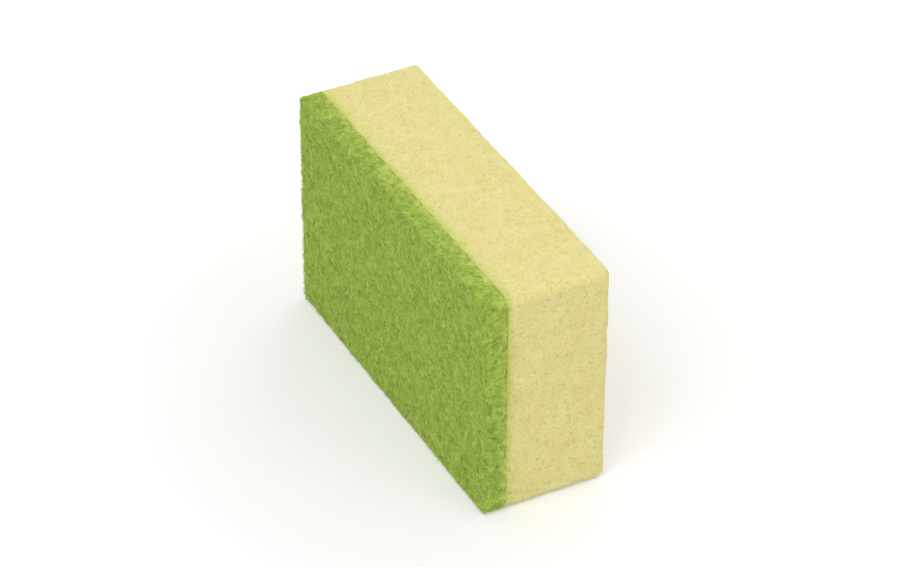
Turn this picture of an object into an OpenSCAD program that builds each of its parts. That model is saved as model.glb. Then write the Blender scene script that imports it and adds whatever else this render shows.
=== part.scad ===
// A two-layer kitchen sponge: a soft foam block with a scouring pad bonded to one large face.
// It stands on a long edge. X runs through the layers, Y along the length and Z up the width.
// The origin is the middle of the base.

/* [Outline] */
// Length of the sponge, along Y
sponge_length = 80; // [60:1:120]
// Width of the sponge, which stands up along Z
sponge_width = 50; // [35:1:80]
// Radius of the four corners of the outline, which both layers share
corner_radius = 1.8; // [1:0.2:8]

/* [Foam] */
// Thickness of the foam block
foam_thickness = 22; // [12:0.5:40]
// Rounding round the foam's free face
foam_edge_radius = 1.4; // [0.4:0.2:4]

/* [Scouring pad] */
// Thickness of the scouring pad
pad_thickness = 4.5; // [3:0.25:10]
// Rounding round the pad's free face
pad_edge_radius = 0.5; // [0.2:0.1:2]

/* [Bond] */
// Rounding of each layer next to the bond, which leaves a fine groove round the sponge
bond_edge_radius = 0.2; // [0.1:0.1:1]

/* [Hidden] */
$fn = 64;
foam_colour = "#E7DE9B";
pad_colour = "#9BB83F";
// The bond lies off the middle, because the layers differ in thickness
bond_x = (pad_thickness - foam_thickness) / 2;
// No edge is rounder than the corners that it turns
foam_edge = min(foam_edge_radius, corner_radius);
pad_edge = min(pad_edge_radius, corner_radius);
bond_edge = min(bond_edge_radius, corner_radius);
// What lies between the corners
straight_width = sponge_width - 2 * corner_radius;
straight_length = sponge_length - 2 * corner_radius;

// Section through the rim of a layer: from the start of the corners at X = 0 out to the edge,
// and from the bond face at Y = 0 up to the free face
module rim_section(thickness, free_edge) {
    bond_flat = corner_radius - bond_edge;
    free_flat = corner_radius - free_edge;
    free_start = thickness - free_edge;
    difference() {
        square([corner_radius, thickness]);
        difference() {
            translate([bond_flat, 0])
                square(bond_edge);
            translate([bond_flat, bond_edge])
                circle(bond_edge);
        }
        difference() {
            translate([free_flat, free_start])
                square(free_edge);
            translate([free_flat, free_start])
                circle(free_edge);
        }
    }
}

// Straight stretch of the rim, which faces +X and runs along Y, inset from the middle
module straight_rim(inset, run, thickness, free_edge) {
    translate([inset, 0, 0])
        rotate([90, 0, 0])
            linear_extrude(run, center = true)
                rim_section(thickness, free_edge);
}

// A layer lying flat with its bond face down: a plain core, four straight rims and four turned corners
module layer(thickness, free_edge) {
    translate([-straight_width / 2, -straight_length / 2, 0])
        cube([straight_width, straight_length, thickness]);
    for (turn = [0, 180])
        rotate([0, 0, turn]) {
            straight_rim(straight_width / 2, straight_length, thickness, free_edge);
            rotate([0, 0, 90])
                straight_rim(straight_length / 2, straight_width, thickness, free_edge);
            translate([straight_width / 2, straight_length / 2, 0])
                rotate_extrude(angle = 90)
                    rim_section(thickness, free_edge);
            translate([-straight_width / 2, straight_length / 2, 0])
                rotate([0, 0, 90])
                    rotate_extrude(angle = 90)
                        rim_section(thickness, free_edge);
        }
}

module foam_block() {
    color(foam_colour)
        translate([bond_x, 0, sponge_width / 2])
            rotate([0, 90, 0])
                layer(foam_thickness, foam_edge);
}

module scouring_pad() {
    color(pad_colour)
        translate([bond_x, 0, sponge_width / 2])
            rotate([0, -90, 0])
                layer(pad_thickness, pad_edge);
}

foam_block();
scouring_pad();
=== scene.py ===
import itertools
import math
from collections import namedtuple

import bpy
import numpy as np
from mathutils import Matrix, Vector
from mathutils.geometry import delaunay_2d_cdt


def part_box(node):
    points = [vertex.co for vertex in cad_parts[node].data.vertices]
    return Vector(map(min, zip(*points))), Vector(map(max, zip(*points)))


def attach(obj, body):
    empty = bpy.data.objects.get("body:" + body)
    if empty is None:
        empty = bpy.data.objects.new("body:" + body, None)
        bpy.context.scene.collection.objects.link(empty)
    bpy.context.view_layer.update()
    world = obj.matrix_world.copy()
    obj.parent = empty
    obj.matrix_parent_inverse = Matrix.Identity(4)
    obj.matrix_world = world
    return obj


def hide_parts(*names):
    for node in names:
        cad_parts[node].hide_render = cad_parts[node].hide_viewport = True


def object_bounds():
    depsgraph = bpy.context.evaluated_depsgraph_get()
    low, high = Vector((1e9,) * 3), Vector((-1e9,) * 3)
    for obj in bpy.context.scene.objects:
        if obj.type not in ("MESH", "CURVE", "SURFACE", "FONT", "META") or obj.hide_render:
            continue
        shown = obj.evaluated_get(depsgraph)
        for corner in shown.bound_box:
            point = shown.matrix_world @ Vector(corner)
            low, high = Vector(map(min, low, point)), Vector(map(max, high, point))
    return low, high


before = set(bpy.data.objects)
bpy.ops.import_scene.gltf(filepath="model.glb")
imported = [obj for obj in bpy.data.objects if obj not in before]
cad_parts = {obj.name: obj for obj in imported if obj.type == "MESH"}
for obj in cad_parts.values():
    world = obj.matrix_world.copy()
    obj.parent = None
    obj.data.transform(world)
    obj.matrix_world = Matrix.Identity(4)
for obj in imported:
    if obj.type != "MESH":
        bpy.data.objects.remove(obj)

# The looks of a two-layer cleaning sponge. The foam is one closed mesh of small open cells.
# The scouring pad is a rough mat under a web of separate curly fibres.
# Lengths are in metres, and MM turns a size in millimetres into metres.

MM = 0.001
SEED = 20

# Rounded edges of the layers
CORNER_RADIUS = 1.8 * MM  # of the outline's corners
FOAM_EDGE = 1.4 * MM  # round the foam's free face
PAD_EDGE = 0.5 * MM  # round the pad's free face
BOND_EDGE = 0.05 * MM  # beside the bond, finer than the solids', so that no dark line shows there

# Surface points, before each triangle gets a point of its own
FOAM_CELL = 0.60 * MM  # spacing on the foam
MAT_CELL = 0.58 * MM  # spacing on the pad's mat
HIDDEN_CELL = 8 * MM  # spacing on the bond faces
SHAKE = 0.27  # how far a point is shaken from its place, in spacings
RIM_GAP = 0.35  # how far the rim's points keep from its lower and upper edge, in spacings
FACE_GAP = 0.5  # how far a flat face's points keep from its edges, in spacings
SEAM_MARGIN = 6  # how far the rim's triangles are made past its seam, in spacings

# The foam's open cells
SHALLOW_CELL = 0.08 * MM  # the least depth
USUAL_CELL = 0.062 * MM  # how much deeper a cell is on average
DEEP_CELL = 0.42 * MM  # the greatest depth
WIDE_CELL = 0.22 * MM  # the depth past which a cell takes its rim down with it
WIDE_CELL_MOUTH = 0.45  # how far that rim goes down, as a share of the depth past it
STRUT_SPREAD = 0.03 * MM  # unevenness of the rims

# Slow waves of the foam's faces
SWELL = 0.13 * MM  # height
SWELL_SIZES = (9 * MM, 3.5 * MM)  # lengths

# The pad's surface
LUMPS = 0.16 * MM  # height of the lumps that the mat and the fibres share
LUMP_SIZES = (1.7 * MM, 0.9 * MM)  # lengths of the lumps
MAT_SINK = 0.20 * MM  # how far the mat lies under the true surface
MAT_RIDGES = 0.15 * MM  # height of the mat's own ridges
RIDGE_SIZE = 0.6 * MM  # length of the larger ridges
MAT_SPREAD = 0.02 * MM  # unevenness of the mat's points

# Blend of the two layers at the bond
BLEND_DEPTH = 0.95 * MM  # how far each takes on the other's colour
BLEND_SPREAD = 0.5  # how much that depth varies, as a share of it
BLEND_PATCH = 1.6 * MM  # size of the patches in which it varies

# Fibres
FIBRE_RADIUS = 0.042 * MM
RADIUS_RANGE = (0.75, 1.2)  # the thinnest and the thickest, as shares of that
FIBRE_SIDES = 3
FIBRE_STEP = 0.30 * MM  # from one point of a fibre to the next
FIBRE_STEPS = 20  # points along a fibre, before it is cut off
SHORTEST_RUN = 3  # the fewest points that may be left of one
CURL_RADIUS = 0.60 * MM  # the usual radius of a bend
CURL_LENGTH = 0.8 * MM  # how far along a fibre a bend lasts
WEAVE_HEIGHT = 0.19 * MM  # how far a fibre dips and rises
WEAVE_LENGTH = (1.2 * MM, 3.0 * MM)  # from one dip to the next
TALLEST = 0.36 * MM  # the most that a web's fibre rises over the true surface

# Fibres over the pad's free face, with the height of each web over it
FACE_WEBS = {"pad_web_low": -0.14 * MM, "pad_web_middle": -0.06 * MM, "pad_web_high": 0.02 * MM}
FACE_FIBRES = 1560  # in each web
FACE_MARGIN = 2 * MM  # how far outside the outline a fibre may start
FACE_CUT = 0.6  # how far in from the outline it is cut off, as a share of the rounded edge

# Fibres round the pad's cut rim, most of them nearly along it
RIM_FIBRES = 1400
RIM_LEVEL = -0.05 * MM  # height over the rim
RIM_MARGIN = 1 * MM  # how far below or above the rim a fibre may start
RIM_TURN = 0.6  # spread of the directions, in radians
RIM_CURL = 0.7  # how much they curl, as a share of the face fibres' curl
FRAY = 0.9 * MM  # how far a fibre may reach over the foam

# Loose ends of fibres
FACE_ENDS = 3200  # on the free face
RIM_ENDS = 3300  # on the cut rim
END_FOOT = -0.25 * MM  # height of their feet over the true surface
END_LENGTH = (0.28 * MM, 0.46 * MM)
END_LEAN = 0.8  # spread of their leans, where 0 is straight out
END_SWERVE = 0.35  # spread of their bends, as a share of their length
END_POINTS = (0, 0.35, 0.7, 1)  # places of the points along each, from its foot to its tip

# Seeds of the noises, of which a pair takes two
SWELL_NOISE = 1
LUMP_NOISE = 3
RIDGE_NOISE = 5
BLEND_NOISE = 7

# Numbers that scramble a place of the noise's lattice into a value
HASH_PLACE = np.array([73856093, 19349663, 83492791])
HASH_SEED = 2654435761
HASH_STEPS = ((15, 2246822519), (13, 3266489917))  # a shift and a factor each
HASH_LAST_SHIFT = 16
HASH_MASK = 0xFFFFFFFF  # the greatest value
HASH_HALF = 0x7FFFFFFF  # half of it

# Small numbers
TINY = 1e-9  # what counts as nothing, in metres or in spacings
LEAST_LENGTH = 1e-12  # the least that a vector is divided by
LEAST_AREA = 1e-20  # the least that a sum of areas is divided by

# Colours are linear, and a ramp is a row of stops, each a place and a colour
WHITE = (1.0, 1.0, 1.0)
BLACK = (0.0, 0.0, 0.0)

# Colours of the foam
# FOAM_CELL_SHADE is painted shade: the deeper a point lies in its cell, the darker it is
FOAM_CELL_SHADE = ((0.0, (0.85, 0.78, 0.37)), (0.4, (0.81, 0.73, 0.31)), (0.9, (0.72, 0.63, 0.24)))
FOAM_PATCHES = ((0.3, (0.95, 0.93, 0.85)), (0.7, WHITE))
# FOAM_PORE_SHADE is painted shade, darkest in the middle of each small pore
FOAM_PORE_SHADE = ((0.10, (0.86, 0.83, 0.71)), (0.48, WHITE))
FOAM_AT_BOND = ((0.0, WHITE), (1.0, (0.66, 0.86, 0.38)))

# Colours of the pad's mat
# MAT_HEIGHT_SHADE is painted shade: the mat stands darker than the fibres, as the deep shade of the web,
# and darker still in its hollows
MAT_HEIGHT_SHADE = ((0.1, (0.29, 0.435, 0.054)), (0.5, (0.48, 0.665, 0.107)), (0.9, (0.585, 0.775, 0.143)))
MAT_STRANDS = ((0.0, (0.80, 0.82, 0.75)), (1.0, WHITE))
# Paler at the bond, partly where glue fills the web and partly painted light
MAT_GLUE_AND_PAINTED_LIGHT_AT_BOND = ((0.0, WHITE), (1.0, (1.50, 1.25, 1.70)))

# Colours of the fibres
FIBRE_TONES = ((0.0, (0.515, 0.705, 0.113)), (0.5, (0.572, 0.757, 0.14)), (1.0, (0.648, 0.815, 0.2)))
# FIBRE_SUNK_SHADE is painted shade: a fibre is darker the deeper it lies under the true surface
FIBRE_SUNK_SHADE = ((0.0, WHITE), (0.35, (0.74, 0.78, 0.64)))
# FIBRE_SPECK_SHADE is painted shade of small dark holes in the web
FIBRE_SPECK_SHADE = ((0.15, (0.70, 0.76, 0.60)), (0.34, WHITE))
# Paler at the bond, partly where glue fills the web and partly painted light
FIBRE_GLUE_AND_PAINTED_LIGHT_AT_BOND = ((0.0, WHITE), (1.0, (1.42, 1.14, 1.62)))

# Colours that the mat and the fibres share
PAD_BLOTCHES = ((0.3, (0.79, 0.85, 0.69)), (0.7, (1.16, 1.12, 1.24)))

# Sizes of the patterns in the materials
FOAM_PATCH = 2.6 * MM
FOAM_PORE = 0.34 * MM
FOAM_GRAIN = 0.35 * MM
PAD_BLOTCH = 1.4 * MM
STRAND_GAP = 0.5 * MM
STRAND_WIDTH = 0.06  # how far the noise is from its middle at a strand's edges
MAT_GRAIN = 0.3 * MM
FIBRE_SPECK = 0.50 * MM
FIBRE_GRAIN = 0.12 * MM

# Bumps of those patterns, each a strength and a height
FOAM_PORE_BUMP = (0.45, 0.10 * MM)
FOAM_GRAIN_BUMP = (0.3, 0.10 * MM)
STRAND_BUMP = (0.8, 0.10 * MM)
MAT_GRAIN_BUMP = (0.6, 0.15 * MM)
FIBRE_GRAIN_BUMP = (0.5, 0.05 * MM)

# The Mix node's sockets for colours
MIX_A = 6
MIX_B = 7
MIX_RESULT = 2

# The camera, placed from the middle of the base and turned to the middle of the sponge
CAMERA_OFFSET = Vector((-285.4, -546.3, 479.2)) * MM
CAMERA_LENS = 156  # focal length in millimetres
CAMERA_ROLL = math.radians(0.2)
CAMERA_NEAR = 10 * MM  # the nearest that it sees
CAMERA_FAR = 20  # the farthest that it sees

# The lamps, each with its place, the side of its square and its power in watts
LAMPS = {
    "key": ((-0.55, -0.35, 0.85), 0.6, 3.8),
    "fill": ((0.35, -0.75, 0.45), 0.6, 1.1),
    "back": ((0.65, 0.55, 0.50), 0.6, 1.6),
}
WORLD_LIGHT = 0.66  # the even light from all round

# The floor, which takes the sponge's shadow and glows to white away from it
FLOOR_REACH = 4.0  # from its middle to each side
FLOOR_COLOUR = (0.8, 0.8, 0.8, 1)
NEAR_GLOW = 0.22  # strength from the middle to GLOW_START
FAR_GLOW = 0.75  # strength from GLOW_END on
GLOW_START = 0.06
GLOW_END = 0.18

# A layer's place, sizes and edge radii. In its own frame, Z is the height over the bond.
Layer = namedtuple("Layer", "bond_x side thickness length width corner free_edge bond_edge")
UP = np.array([0.0, 0.0, 1.0])  # the way out of its free face


def layer_of(node, side, free_edge):
    """The layer in a CAD node's box. side is 1 if it lies on the +X side of the bond, and -1 if not."""
    low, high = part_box(node)
    bond_x = low[0] if side > 0 else high[0]
    size = np.subtract(high, low)
    return Layer(bond_x, side, *size, CORNER_RADIUS, free_edge, BOND_EDGE)


def to_world(layer, points):
    """Points of a layer's own frame, which is length, width and height over the bond, as X, Y and Z."""
    along, across, height = points.T
    return np.column_stack((layer.bond_x + layer.side * height, along, across + layer.width / 2))


def rim_length(layer):
    """The way round the outline, whose four corners are quarter circles."""
    return 2 * (layer.length + layer.width) + (2 * math.pi - 8) * layer.corner


def rim_height(layer):
    """The way up the rim from the bond face to the free face, over both rounded edges."""
    straight = layer.thickness - layer.bond_edge - layer.free_edge
    return straight + (layer.bond_edge + layer.free_edge) * math.pi / 2


def outline(layer, s):
    """For distances s along the outline: the spine, which joins the corners' centres, and the way out."""
    inner = np.array([layer.length, layer.width]) / 2 - layer.corner
    arc = layer.corner * math.pi / 2
    sides = np.array([2 * inner[1], 2 * inner[0]] * 2)
    starts = np.concatenate(([0], np.cumsum(sides + arc)))
    s = np.mod(s, starts[-1])
    side = np.searchsorted(starts, s, side="right") - 1
    along = s - starts[side]
    turned = np.clip(along - sides[side], 0, arc) / layer.corner
    angle = side * math.pi / 2 + turned
    corners = inner * np.array([[1, -1], [1, 1], [-1, 1], [-1, -1]])
    run = side * math.pi / 2 + math.pi / 2
    moved = np.minimum(along, sides[side])
    spine = corners[side] + moved[:, None] * np.column_stack((np.cos(run), np.sin(run)))
    return spine, np.column_stack((np.cos(angle), np.sin(angle)))


def profile(layer, t):
    """For distances t up the rim from the bond: how far in, how high, and the slope of the way out."""
    lower = layer.bond_edge * math.pi / 2
    wall = layer.thickness - layer.bond_edge - layer.free_edge
    # How far the way out is turned down by the lower rounding and up by the upper one
    down = np.clip(lower - t, 0, lower) / layer.bond_edge
    up = np.clip(t - lower - wall, 0, None) / layer.free_edge
    inset = layer.bond_edge * (1 - np.cos(down)) + layer.free_edge * (1 - np.cos(up))
    on_wall = np.clip(t - lower, 0, wall)
    height = layer.bond_edge * (1 - np.sin(down)) + on_wall + layer.free_edge * np.sin(up)
    return inset, height, up - down


def rim_points(layer, s, t, rise=0.0):
    """Points on the rim at s along it and t up it, raised by rise."""
    spine, out = outline(layer, s)
    inset, height, slope = profile(layer, t)
    reach = layer.corner - inset + rise * np.cos(slope)
    return np.column_stack((spine + out * reach[:, None], height + rise * np.sin(slope)))


def rim_normals(layer, s, t):
    """The way out of the rim at s along it and t up it."""
    _, out = outline(layer, s)
    slope = profile(layer, t)[2]
    return np.column_stack((out * np.cos(slope)[:, None], np.sin(slope)))


def lattice_noise(points, size, seed):
    """Smooth noise from -1 to 1 whose waves are about size long."""
    scaled = points / (size / 2)
    base = np.floor(scaled).astype(np.int64)
    part = scaled - base
    part = part * part * (3 - 2 * part)
    total = np.zeros(len(points))
    for corner in np.ndindex(2, 2, 2):
        key = (base + corner) @ HASH_PLACE + seed * HASH_SEED
        for shift, factor in HASH_STEPS:
            key = (key ^ (key >> shift)) * factor & HASH_MASK
        value = (key ^ (key >> HASH_LAST_SHIFT)) / HASH_HALF - 1
        total += value * np.prod(np.where(corner, part, 1 - part), axis=1)
    return total


def two_noises(points, sizes, seed):
    """Noise of two sizes, the second at half the strength of the first."""
    return lattice_noise(points, sizes[0], seed) + lattice_noise(points, sizes[1], seed + 1) / 2


def lumps(points):
    """How far the pad's surface rises at points of its own frame."""
    return LUMPS * two_noises(points, LUMP_SIZES, LUMP_NOISE)


def near_bond(points):
    """How far each point takes on the other layer's colour, from 1 at the bond down to 0."""
    depth = BLEND_DEPTH * (1 + BLEND_SPREAD * lattice_noise(points, BLEND_PATCH, BLEND_NOISE))
    return np.exp(-np.maximum(points[:, 2], 0) / depth)


def lattice(rng, width, height, step):
    """Points of a triangular lattice over a rectangle from (0, 0), each shaken from its place."""
    rows = max(2, round(height / (step * math.sqrt(3) / 2)))
    columns = max(2, round(width / step))
    row, column = np.divmod(np.arange(rows * columns), columns)
    # Every second row is moved along by half a spacing
    x = (column + 0.25 + row % 2 / 2) * width / columns
    y = (row + 0.5) * height / rows
    moves = rng.uniform(-SHAKE, SHAKE, (len(row), 2)) * step
    return np.column_stack((x, y)) + moves


def triangulate(points, step):
    """Delaunay triangles of flat points, counter-clockwise."""
    _, _, faces, sources, _, _ = delaunay_2d_cdt([Vector(p) for p in points / step], [], [], 0, TINY)
    # The number that each point has in the list that was given
    source = np.array([s[0] for s in sources])
    faces = source[np.array(faces)]
    a, b, c = (points[faces[:, i]] for i in range(3))
    area = (b - a)[:, 0] * (c - a)[:, 1] - (b - a)[:, 1] * (c - a)[:, 0]
    faces[area < 0] = faces[area < 0, ::-1]
    return faces[np.abs(area) > TINY * step * step]


def rim_patch(layer, loop_bond, loop_free, sites, step):
    """Triangles round the rim, where s wraps round, of the bond loop, the free loop and the sites."""
    around = rim_length(layer)
    flat = np.concatenate((
        np.column_stack((loop_bond, np.zeros(len(loop_bond)))),
        np.column_stack((loop_free, np.full(len(loop_free), rim_height(layer)))),
        sites,
    ))
    flat[:, 0] %= around
    index = np.arange(len(flat))
    # The points near the seam are repeated past it, so that triangles can cross it
    margin = SEAM_MARGIN * step
    before = flat[:, 0] > around - margin
    after = flat[:, 0] < margin
    wide = np.concatenate((flat, flat[before] - (around, 0), flat[after] + (around, 0)))
    index = np.concatenate((index, index[before], index[after]))
    faces = triangulate(wide, step)
    middle = wide[faces, 0].mean(axis=1)
    return index[faces[(middle >= 0) & (middle < around)]]


def face_patch(loop, sites, step):
    """Triangles of a flat face inside a loop. Its points are the loop and then the sites."""
    return triangulate(np.concatenate((loop, sites)), step)


def face_sites(rng, layer, inset, step):
    """Shaken points well inside a flat face that starts at inset from the outline."""
    room = np.array([layer.length, layer.width]) - 2 * inset
    sites = lattice(rng, room[0], room[1], step) - room / 2
    inside = (np.abs(sites) < room / 2 - FACE_GAP * step).all(axis=1)
    return sites[inside]


def coarse_skin(rng, layer, step):
    """The surface of a layer: its points, the triangles that show, and those on the bond face."""
    around, up = rim_length(layer), rim_height(layer)
    count = round(around / step)
    loops = [(np.arange(count) + rng.uniform(-SHAKE, SHAKE, count)) * around / count for _ in range(2)]
    sites = lattice(rng, around, up, step)
    sites[:, 1] = np.clip(sites[:, 1], RIM_GAP * step, up - RIM_GAP * step)
    bond_loop = rim_points(layer, loops[0], np.zeros(count))
    free_loop = rim_points(layer, loops[1], np.full(count, up))
    face = face_sites(rng, layer, layer.free_edge, step)
    hidden = face_sites(rng, layer, layer.bond_edge, HIDDEN_CELL)
    points = np.concatenate((
        bond_loop,
        free_loop,
        rim_points(layer, sites[:, 0], sites[:, 1]),
        np.column_stack((face, np.full(len(face), layer.thickness))),
        np.column_stack((hidden, np.zeros(len(hidden)))),
    ))
    first_face = 2 * count + len(sites)
    first_hidden = first_face + len(face)
    rim = rim_patch(layer, loops[0], loops[1], sites, step)
    in_face = np.concatenate((np.arange(count) + count, np.arange(len(face)) + first_face))
    free = in_face[face_patch(free_loop[:, :2], face, step)]
    in_bond = np.concatenate((np.arange(count), np.arange(len(hidden)) + first_hidden))
    bond = in_bond[face_patch(bond_loop[:, :2], hidden, step)][:, ::-1]
    return points, np.concatenate((rim, free)), bond


def open_cells(points, faces):
    """Puts a point in each triangle and turns the old edges, so that each old point is a cell's middle."""
    middles = points[faces].mean(axis=1)
    centre = np.arange(len(faces)) + len(points)
    start = faces.ravel()
    end = np.roll(faces, -1, axis=1).ravel()
    owner = np.repeat(centre, 3)
    # The twin of an edge runs back along it, in the triangle on its other side
    size = len(points)
    order = np.argsort(start * size + end)
    keys = (start * size + end)[order]
    place = np.minimum(np.searchsorted(keys, end * size + start), len(keys) - 1)
    twin = order[place]
    paired = keys[place] == end * size + start
    # An edge and its twin make two triangles between them, and an edge with no twin makes one
    once = paired & (start < end)
    new = np.concatenate((
        np.column_stack((start, owner[twin], owner))[once],
        np.column_stack((end, owner, owner[twin]))[once],
        np.column_stack((start, end, owner))[~paired],
    ))
    return np.concatenate((points, middles)), new


def point_normals(points, faces):
    """The way out of the surface at each point, which is the mean over the faces that meet there."""
    a, b, c = (points[faces[:, i]] for i in range(3))
    across = np.cross(b - a, c - a)
    total = np.column_stack([
        np.bincount(faces.ravel(), np.repeat(across[:, i], 3), len(points)) for i in range(3)
    ])
    return total / np.maximum(np.linalg.norm(total, axis=1), LEAST_AREA)[:, None]


def make_piece(name, points, faces, material, **values):
    """A smooth mesh object. Each of values holds one number for each point, for the material to read."""
    mesh = bpy.data.meshes.new(name)
    mesh.vertices.add(len(points))
    mesh.vertices.foreach_set("co", points.astype(np.float32).ravel())
    mesh.loops.add(faces.size)
    mesh.loops.foreach_set("vertex_index", faces.astype(np.int32).ravel())
    mesh.polygons.add(len(faces))
    mesh.polygons.foreach_set("loop_start", np.arange(0, faces.size, 3, dtype=np.int32))
    mesh.polygons.foreach_set("use_smooth", np.ones(len(faces), bool))
    mesh.update(calc_edges=True)
    for key, value in values.items():
        layer = mesh.attributes.new(key, "FLOAT", "POINT")
        layer.data.foreach_set("value", value.astype(np.float32))
    mesh.materials.append(material)
    piece = bpy.data.objects.new(name, mesh)
    bpy.context.scene.collection.objects.link(piece)
    return piece


def placed(layer, points, faces):
    """Points and faces of a layer in the row's frame, with no point below the sponge's base."""
    world = to_world(layer, points)
    world[:, 2] = np.maximum(world[:, 2], 0)
    # A layer on the -X side comes out mirrored, so its faces are turned over
    return world, faces if layer.side > 0 else faces[:, ::-1]


def pushed(points, normals, rise):
    """Points moved by rise along their normals. Those of the bond face stay, and none goes past it."""
    on_bond = points[:, 2] < TINY
    moved = points + normals * np.where(on_bond, 0, rise)[:, None]
    moved[:, 2] = np.maximum(moved[:, 2], 0)
    return moved


def make_foam(rng, layer, material):
    """The foam block. Its first points are the floors of its cells, and the others are on their rims."""
    sites, coarse, bond = coarse_skin(rng, layer, FOAM_CELL)
    points, shown = open_cells(sites, coarse)
    depth = np.minimum(SHALLOW_CELL + rng.exponential(USUAL_CELL, len(sites)), DEEP_CELL)
    mouth = WIDE_CELL_MOUTH * np.maximum(depth - WIDE_CELL, 0)[coarse].max(axis=1)
    rim = rng.normal(0, STRUT_SPREAD, len(coarse)) - mouth
    rise = np.concatenate((-depth, rim)) + SWELL * two_noises(points, SWELL_SIZES, SWELL_NOISE)
    # hollow carries each point's depth, which the material turns into painted shade
    hollow = np.concatenate((depth, mouth)) / DEEP_CELL
    blend = near_bond(points)
    points = pushed(points, point_normals(points, shown), rise)
    points, faces = placed(layer, points, np.concatenate((shown, bond)))
    return make_piece("foam_body", points, faces, material, hollow=hollow, blend=blend)


def mat_ridges(points):
    """Ridges of two sizes, from about -2 to 1. They are where noise crosses its middle."""
    coarse = lattice_noise(points, RIDGE_SIZE, RIDGE_NOISE)
    fine = lattice_noise(points, RIDGE_SIZE / 2, RIDGE_NOISE + 1)
    return 1 - 2 * np.abs(coarse) - np.abs(fine)


def make_mat(rng, layer, material):
    """The ground of the pad, which shows between its fibres."""
    sites, coarse, bond = coarse_skin(rng, layer, MAT_CELL)
    points, shown = open_cells(sites, coarse)
    relief = lumps(points) + MAT_RIDGES * mat_ridges(points) + rng.normal(0, MAT_SPREAD, len(points))
    # height carries the relief, which the material turns into painted shade
    height = 0.5 + relief / (2 * (LUMPS + MAT_RIDGES))
    blend = near_bond(points)
    points = pushed(points, point_normals(points, shown), relief - MAT_SINK)
    points, faces = placed(layer, points, np.concatenate((shown, bond)))
    return make_piece("pad_mat", points, faces, material, height=height, blend=blend)


def curls(rng, count):
    """Headings along count curly fibres, each from 0. The curl of a fibre changes slowly along it."""
    keep = math.exp(-FIBRE_STEP / CURL_LENGTH)
    curl = rng.normal(0, 1, (count, FIBRE_STEPS))
    for i in range(1, FIBRE_STEPS):
        curl[:, i] = keep * curl[:, i - 1] + math.sqrt(1 - keep * keep) * curl[:, i]
    return np.cumsum(FIBRE_STEP / CURL_RADIUS * curl, axis=1)


def weave(rng, count):
    """Heights along count fibres, which dip into the mat and rise out of it."""
    phase = rng.uniform(0, 2 * math.pi, (count, 1))
    length = rng.uniform(*WEAVE_LENGTH, (count, 1))
    return WEAVE_HEIGHT * np.sin(phase + 2 * math.pi * FIBRE_STEP * np.arange(FIBRE_STEPS) / length)


def first_run(inside):
    """Of each row, the first unbroken stretch that is inside."""
    started = np.maximum.accumulate(inside, axis=1)
    ended = np.cumsum(started & ~inside, axis=1) > 0
    return started & ~ended


def tubes(paths, ups, radii, kept):
    """Three-sided tubes along the kept stretch of each path, closed at both ends, as points and faces."""
    path, step = np.nonzero(kept)
    centre, up, radius = paths[path, step], ups[path, step], radii[path]
    joined = path[1:] == path[:-1]
    after = np.append(joined, False)
    before = np.insert(joined, 0, False)
    index = np.arange(len(path))
    along = centre[index + after] - centre[index - before]
    along /= np.linalg.norm(along, axis=1)[:, None]
    side = np.cross(along, up)
    side /= np.maximum(np.linalg.norm(side, axis=1), LEAST_LENGTH)[:, None]
    over = np.cross(side, along)
    # The first edge of each tube is on top
    points = np.empty((len(path), FIBRE_SIDES, 3))
    for k in range(FIBRE_SIDES):
        angle = (k / FIBRE_SIDES + 0.25) * 2 * math.pi
        ring = math.cos(angle) * side + math.sin(angle) * over
        points[:, k] = centre + radius[:, None] * ring
    low = FIBRE_SIDES * index[after]
    high = low + FIBRE_SIDES
    walls = []
    for k in range(FIBRE_SIDES):
        turn = (k + 1) % FIBRE_SIDES
        walls.append(np.column_stack((low + k, high + k, low + turn)))
        walls.append(np.column_stack((low + turn, high + k, high + turn)))
    first = FIBRE_SIDES * index[~before]
    last = FIBRE_SIDES * index[~after]
    caps = [np.column_stack((first, first + 1, first + 2)), np.column_stack((last, last + 2, last + 1))]
    return points.reshape(-1, 3), np.concatenate(walls + caps)


def fibre_piece(name, rng, layer, material, paths, ups, rise, kept):
    """A piece of many fibres. rise is how far each path point lies over the pad's true surface."""
    kept = kept & (kept.sum(axis=1) >= SHORTEST_RUN)[:, None]
    radii = FIBRE_RADIUS * rng.uniform(*RADIUS_RANGE, len(paths))
    points, faces = tubes(paths, ups, radii, kept)
    tone = np.repeat(rng.random(len(paths)), FIBRE_SIDES * kept.sum(axis=1))
    # sunk carries each point's depth, which the material turns into painted shade
    sunk = np.repeat(-rise[kept] / MM, FIBRE_SIDES)
    blend = near_bond(points)
    points, faces = placed(layer, points, faces)
    return make_piece(name, points, faces, material, tone=tone, sunk=sunk, blend=blend)


def face_fibres(name, rng, layer, material, level):
    """Fibres that lie on the pad's free face, cut off at its edge. level is their height over the face."""
    count = FACE_FIBRES
    half = np.array([layer.length, layer.width]) / 2
    start = rng.uniform(-1, 1, (count, 1, 2)) * (half + FACE_MARGIN)
    heading = rng.uniform(0, 2 * math.pi, (count, 1)) + curls(rng, count)
    flat = start + np.cumsum(FIBRE_STEP * np.stack((np.cos(heading), np.sin(heading)), axis=2), axis=1)
    ground = np.concatenate((flat, np.full((*heading.shape, 1), layer.thickness)), axis=2)
    rise = level + lumps(ground.reshape(-1, 3)).reshape(heading.shape) + weave(rng, count)
    rise = np.minimum(rise, TALLEST)
    inside = (np.abs(flat) < half - layer.free_edge * FACE_CUT).all(axis=2)
    paths = ground + rise[:, :, None] * UP
    ups = np.broadcast_to(UP, paths.shape)
    return fibre_piece(name, rng, layer, material, paths, ups, rise, first_run(inside))


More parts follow.
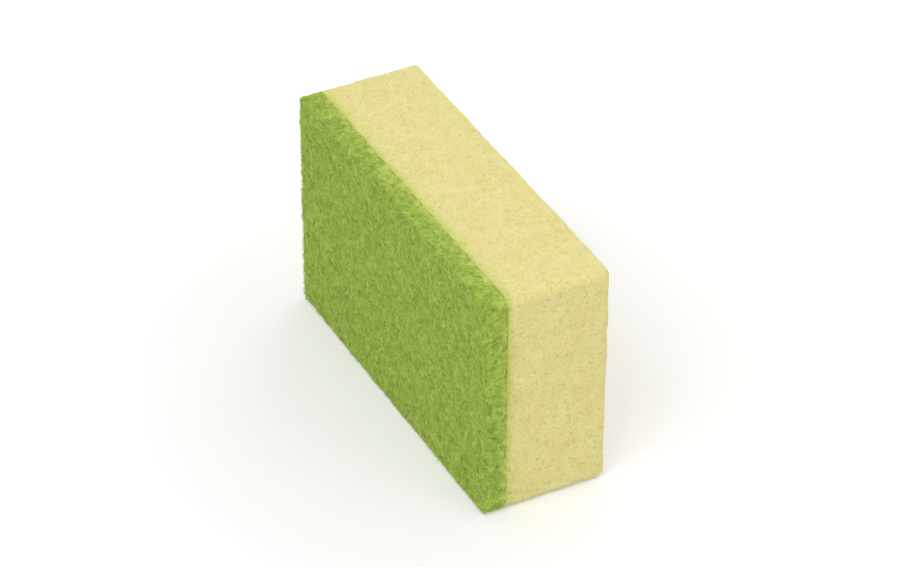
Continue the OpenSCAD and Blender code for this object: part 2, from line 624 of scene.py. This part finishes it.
def rim_fibres(name, rng, layer, material):
    """Fibres along the pad's cut rim. Past the bond they run straight on over the foam."""
    count = RIM_FIBRES
    around, up = rim_length(layer), rim_height(layer)
    heading = math.pi * rng.integers(0, 2, (count, 1)) + rng.normal(0, RIM_TURN, (count, 1))
    heading = heading + RIM_CURL * curls(rng, count)
    start = (np.arange(count) + rng.random(count)) * around / count
    s = start[:, None] + np.cumsum(FIBRE_STEP * np.cos(heading), axis=1)
    t = rng.uniform(-RIM_MARGIN, up + RIM_MARGIN, (count, 1))
    t = t + np.cumsum(FIBRE_STEP * np.sin(heading), axis=1)
    inside = (t > -FRAY * rng.random((count, 1))) & (t < up)
    s = s.ravel()
    t = np.clip(t, -FRAY, up).ravel()
    wall = np.maximum(t, layer.bond_edge * math.pi / 2)
    rise = RIM_LEVEL + lumps(rim_points(layer, s, wall)) + weave(rng, count).ravel()
    rise = np.minimum(rise, TALLEST)
    paths = rim_points(layer, s, wall, rise)
    paths[:, 2] += t - wall
    paths = paths.reshape(count, -1, 3)
    ups = rim_normals(layer, s, wall).reshape(count, -1, 3)
    rise = rise.reshape(count, -1)
    return fibre_piece(name, rng, layer, material, paths, ups, rise, first_run(inside))


def loose_ends(name, rng, layer, material, feet, outs):
    """Short curved ends of fibres, which stand out of the pad at feet and lean any way from outs."""
    lean = outs + rng.normal(0, END_LEAN, feet.shape)
    lean /= np.linalg.norm(lean, axis=1)[:, None]
    swerve = rng.normal(0, END_SWERVE, feet.shape)
    length = rng.uniform(*END_LENGTH, (len(feet), 1))
    paths = np.stack([feet + length * (k * lean + k * k * swerve) for k in END_POINTS], axis=1)
    ups = np.repeat(np.cross(lean, swerve)[:, None], len(END_POINTS), axis=1)
    rise = END_FOOT + length * np.array(END_POINTS)
    return fibre_piece(name, rng, layer, material, paths, ups, rise, np.ones(rise.shape, bool))


def rim_ends(name, rng, layer, material):
    """The ends of the fibres that the cut round the pad went through."""
    s = rng.uniform(0, rim_length(layer), RIM_ENDS)
    t = rng.uniform(0, rim_height(layer), RIM_ENDS)
    feet = rim_points(layer, s, t, END_FOOT)
    return loose_ends(name, rng, layer, material, feet, rim_normals(layer, s, t))


def face_ends(name, rng, layer, material):
    """Ends of fibres that stand out of the pad's free face."""
    half = np.array([layer.length, layer.width]) / 2 - layer.free_edge
    flat = rng.uniform(-1, 1, (FACE_ENDS, 2)) * half
    feet = np.column_stack((flat, np.full(FACE_ENDS, layer.thickness + END_FOOT)))
    return loose_ends(name, rng, layer, material, feet, UP)


class Nodes:
    """A new material, with short ways to add shader nodes to it and to join them."""

    def __init__(self, name):
        self.material = bpy.data.materials.new(name)
        self.material.use_nodes = True
        self.tree = self.material.node_tree
        self.tree.nodes.clear()

    def add(self, kind, **settings):
        """A new shader node with these settings."""
        node = self.tree.nodes.new("ShaderNode" + kind)
        for key, value in settings.items():
            setattr(node, key, value)
        return node

    def join(self, source, target):
        """Links an output of one node to an input of another."""
        self.tree.links.new(source, target)

    def value(self, name):
        """The number that the mesh holds under a name."""
        return self.add("Attribute", attribute_name=name).outputs["Fac"]

    def pattern(self, kind, size, **inputs):
        """A texture node whose pattern is about size metres across."""
        where = self.add("TexCoord")
        node = self.add(kind)
        node.inputs["Scale"].default_value = 1 / size
        for key, value in inputs.items():
            node.inputs[key].default_value = value
        self.join(where.outputs["Object"], node.inputs["Vector"])
        return node

    def noise(self, size, detail, roughness=0.5):
        """Noise whose waves are about size metres long, between about 0 and 1."""
        return self.pattern("TexNoise", size, Detail=detail, Roughness=roughness).outputs["Fac"]

    def holes(self, size):
        """Round holes about size metres apart: 0 in the middle of each, and about 0.6 between them."""
        return self.pattern("TexVoronoi", size).outputs["Distance"]

    def ramp(self, source, stops):
        """Colours by a value. Each stop is a place and a colour."""
        node = self.add("ValToRGB")
        band = node.color_ramp
        while len(band.elements) < len(stops):
            band.elements.new(0.5)
        for element, (place, colour) in zip(band.elements, stops):
            element.position = place
            element.color = (*colour, 1)
        self.join(source, node.inputs["Fac"])
        return node.outputs["Color"]

    def strands(self, size, width):
        """White curly lines on black, about size metres apart, within width of the noise's middle."""
        stops = ((0.5 - width, BLACK), (0.5, WHITE), (0.5 + width, BLACK))
        return self.ramp(self.noise(size, detail=2.0, roughness=0.6), stops)

    def product(self, first, *others):
        """The product of colours."""
        for other in others:
            node = self.add("Mix", data_type="RGBA", blend_type="MULTIPLY")
            node.inputs["Factor"].default_value = 1.0
            self.join(first, node.inputs[MIX_A])
            self.join(other, node.inputs[MIX_B])
            first = node.outputs[MIX_RESULT]
        return first

    def bump(self, source, strength, distance, below=None):
        """Normals that follow the heights of source, over those of below."""
        node = self.add("Bump")
        node.inputs["Strength"].default_value = strength
        node.inputs["Distance"].default_value = distance
        self.join(source, node.inputs["Height"])
        if below:
            self.join(below, node.inputs["Normal"])
        return node.outputs["Normal"]

    def finish(self, colour, normal, **constants):
        """The material, as one shader with these constants."""
        shader = self.add("BsdfPrincipled")
        for key, value in constants.items():
            shader.inputs[key.replace("_", " ")].default_value = value
        self.join(colour, shader.inputs["Base Color"])
        self.join(normal, shader.inputs["Normal"])
        out = self.add("OutputMaterial")
        self.join(shader.outputs["BSDF"], out.inputs["Surface"])
        return self.material


def pad_blotches(n):
    """The uneven thickness of the pad's web, which its mat and its fibres share."""
    return n.ramp(n.noise(PAD_BLOTCH, detail=2.0), PAD_BLOTCHES)


def foam_material():
    """Pale yellow and slightly translucent, with painted shade in its cells and pores, and greener at the
    bond.
    """
    n = Nodes("foam")
    # Painted shade in the cells, darker by depth
    cells = n.ramp(n.value("hollow"), FOAM_CELL_SHADE)
    patches = n.ramp(n.noise(FOAM_PATCH, detail=2.0), FOAM_PATCHES)
    pores = n.holes(FOAM_PORE)
    # Painted shade in the small pores
    specks = n.ramp(pores, FOAM_PORE_SHADE)
    green = n.ramp(n.value("blend"), FOAM_AT_BOND)
    grain = n.bump(n.noise(FOAM_GRAIN, detail=3.0, roughness=0.6), *FOAM_GRAIN_BUMP)
    return n.finish(
        n.product(cells, patches, specks, green),
        n.bump(pores, *FOAM_PORE_BUMP, below=grain),
        Roughness=0.9,
        Specular_IOR_Level=0.15,
        Subsurface_Weight=0.35,
        Subsurface_Radius=(1.0, 0.8, 0.4),
        Subsurface_Scale=0.8 * MM,
    )


def mat_material():
    """Green, with painted shade that keeps it darker than the fibres and darker still in its hollows, with
    paler strands, and paler at the bond, partly glue and partly painted light.
    """
    n = Nodes("scouring_mat")
    # Painted shade, darker in the mat's hollows
    ground = n.ramp(n.value("height"), MAT_HEIGHT_SHADE)
    strands = n.strands(STRAND_GAP, STRAND_WIDTH)
    lines = n.ramp(strands, MAT_STRANDS)
    # Paler at the bond, partly glue and partly painted light
    pale = n.ramp(n.value("blend"), MAT_GLUE_AND_PAINTED_LIGHT_AT_BOND)
    ridges = n.bump(strands, *STRAND_BUMP)
    grain = n.noise(MAT_GRAIN, detail=4.0, roughness=0.6)
    return n.finish(
        n.product(ground, lines, pad_blotches(n), pale),
        n.bump(grain, *MAT_GRAIN_BUMP, below=ridges),
        Roughness=0.8,
        Specular_IOR_Level=0.3,
    )


def fibre_material():
    """Green, each fibre of its own tone, with painted shade where it is sunk and in specks, and paler at
    the bond, partly glue and partly painted light.
    """
    n = Nodes("scouring_fibre")
    tint = n.ramp(n.value("tone"), FIBRE_TONES)
    # Painted shade where a fibre is sunk
    shade = n.ramp(n.value("sunk"), FIBRE_SUNK_SHADE)
    # Painted shade of small holes in the web
    specks = n.ramp(n.holes(FIBRE_SPECK), FIBRE_SPECK_SHADE)
    # Paler at the bond, partly glue and partly painted light
    pale = n.ramp(n.value("blend"), FIBRE_GLUE_AND_PAINTED_LIGHT_AT_BOND)
    return n.finish(
        n.product(tint, shade, specks, pad_blotches(n), pale),
        n.bump(n.noise(FIBRE_GRAIN, detail=3.0), *FIBRE_GRAIN_BUMP),
        Roughness=0.6,
        Specular_IOR_Level=0.4,
    )


def floor_material():
    """Matt, with a glow that only the camera sees and that grows with the distance from the middle."""
    n = Nodes("floor")
    where = n.add("TexCoord")
    reach = n.add("VectorMath", operation="LENGTH")
    n.join(where.outputs["Object"], reach.inputs[0])
    glow = n.add("MapRange")
    glow.inputs["From Min"].default_value = GLOW_START
    glow.inputs["From Max"].default_value = GLOW_END
    glow.inputs["To Min"].default_value = NEAR_GLOW
    glow.inputs["To Max"].default_value = FAR_GLOW
    n.join(reach.outputs["Value"], glow.inputs["Value"])
    path = n.add("LightPath")
    seen = n.add("Math", operation="MULTIPLY")
    n.join(glow.outputs["Result"], seen.inputs[0])
    n.join(path.outputs["Is Camera Ray"], seen.inputs[1])
    shine = n.add("Emission")
    n.join(seen.outputs["Value"], shine.inputs["Strength"])
    matt = n.add("BsdfDiffuse")
    matt.inputs["Color"].default_value = FLOOR_COLOUR
    both = n.add("AddShader")
    n.join(matt.outputs["BSDF"], both.inputs[0])
    n.join(shine.outputs["Emission"], both.inputs[1])
    out = n.add("OutputMaterial")
    n.join(both.outputs["Shader"], out.inputs["Surface"])
    return n.material


def make_floor():
    """A wide square under the sponge, for the render only."""
    mesh = bpy.data.meshes.new("floor")
    corners = [(x * FLOOR_REACH, y * FLOOR_REACH, 0) for x, y in ((-1, -1), (1, -1), (1, 1), (-1, 1))]
    mesh.from_pydata(corners, [], [(0, 1, 2, 3)])
    mesh.materials.append(floor_material())
    floor = bpy.data.objects.new("floor", mesh)
    bpy.context.scene.collection.objects.link(floor)


def make_world():
    """Even light all round, which the camera and shiny or clear surfaces see as white."""
    world = bpy.data.worlds.new("studio")
    bpy.context.scene.world = world
    world.use_nodes = True
    tree = world.node_tree
    sky = tree.nodes["Background"]
    sky.inputs["Color"].default_value = (*WHITE, 1)
    path = tree.nodes.new("ShaderNodeLightPath")
    seen = path.outputs["Is Camera Ray"]
    for ray in ("Is Glossy Ray", "Is Transmission Ray"):
        either = tree.nodes.new("ShaderNodeMath")
        either.operation = "MAXIMUM"
        tree.links.new(seen, either.inputs[0])
        tree.links.new(path.outputs[ray], either.inputs[1])
        seen = either.outputs["Value"]
    strength = tree.nodes.new("ShaderNodeMapRange")
    strength.inputs["To Min"].default_value = WORLD_LIGHT
    strength.inputs["To Max"].default_value = 1.0
    tree.links.new(seen, strength.inputs["Value"])
    tree.links.new(strength.outputs["Result"], sky.inputs["Strength"])


def make_lamp(name, place, target, size, power):
    """A square lamp at a place, turned to the target."""
    data = bpy.data.lights.new(name, "AREA")
    data.size = size
    data.energy = power
    lamp = bpy.data.objects.new(name, data)
    lamp.location = place
    lamp.rotation_mode = "QUATERNION"
    lamp.rotation_quaternion = (target - Vector(place)).to_track_quat("-Z", "Y")
    bpy.context.scene.collection.objects.link(lamp)


def make_camera(low, high):
    """The camera, turned to the middle of the box from low to high, which it gives back."""
    data = bpy.data.cameras.new("camera")
    data.lens = CAMERA_LENS
    data.clip_start = CAMERA_NEAR
    data.clip_end = CAMERA_FAR
    camera = bpy.data.objects.new("camera", data)
    centre = (Vector(low) + Vector(high)) / 2
    base = Vector((centre.x, centre.y, low[2]))
    place = base + CAMERA_OFFSET
    turn = (centre - place).to_track_quat("-Z", "Y").to_matrix() @ Matrix.Rotation(CAMERA_ROLL, 3, "Z")
    camera.matrix_world = Matrix.Translation(place) @ turn.to_4x4()
    bpy.context.scene.collection.objects.link(camera)
    bpy.context.scene.camera = camera
    return centre


def dress(piece, node):
    """Makes a piece stand for a CAD node: joins it to the root body and hides the node."""
    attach(piece, "root")
    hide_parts(node)


cad_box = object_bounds()
middle = make_camera(*cad_box)
foam = layer_of("foam_block", 1, FOAM_EDGE)
pad = layer_of("scouring_pad", -1, PAD_EDGE)

# Each piece draws its random numbers from a generator of its own
generators = map(np.random.default_rng, itertools.count(SEED))

foam_body = make_foam(next(generators), foam, foam_material())
dress(foam_body, "foam_block")

pad_mat = make_mat(next(generators), pad, mat_material())
dress(pad_mat, "scouring_pad")

fibre_look = fibre_material()
webs = [
    face_fibres(name, next(generators), pad, fibre_look, level)
    for name, level in FACE_WEBS.items()
]
webs.append(rim_fibres("pad_rim_web", next(generators), pad, fibre_look))
webs.append(rim_ends("pad_rim_ends", next(generators), pad, fibre_look))
webs.append(face_ends("pad_face_ends", next(generators), pad, fibre_look))
for web in webs:
    dress(web, "scouring_pad")

make_floor()
make_world()
for name, (place, size, power) in LAMPS.items():
    make_lamp(name, place, middle, size, power)
bpy.context.scene.view_settings.view_transform = "Standard"
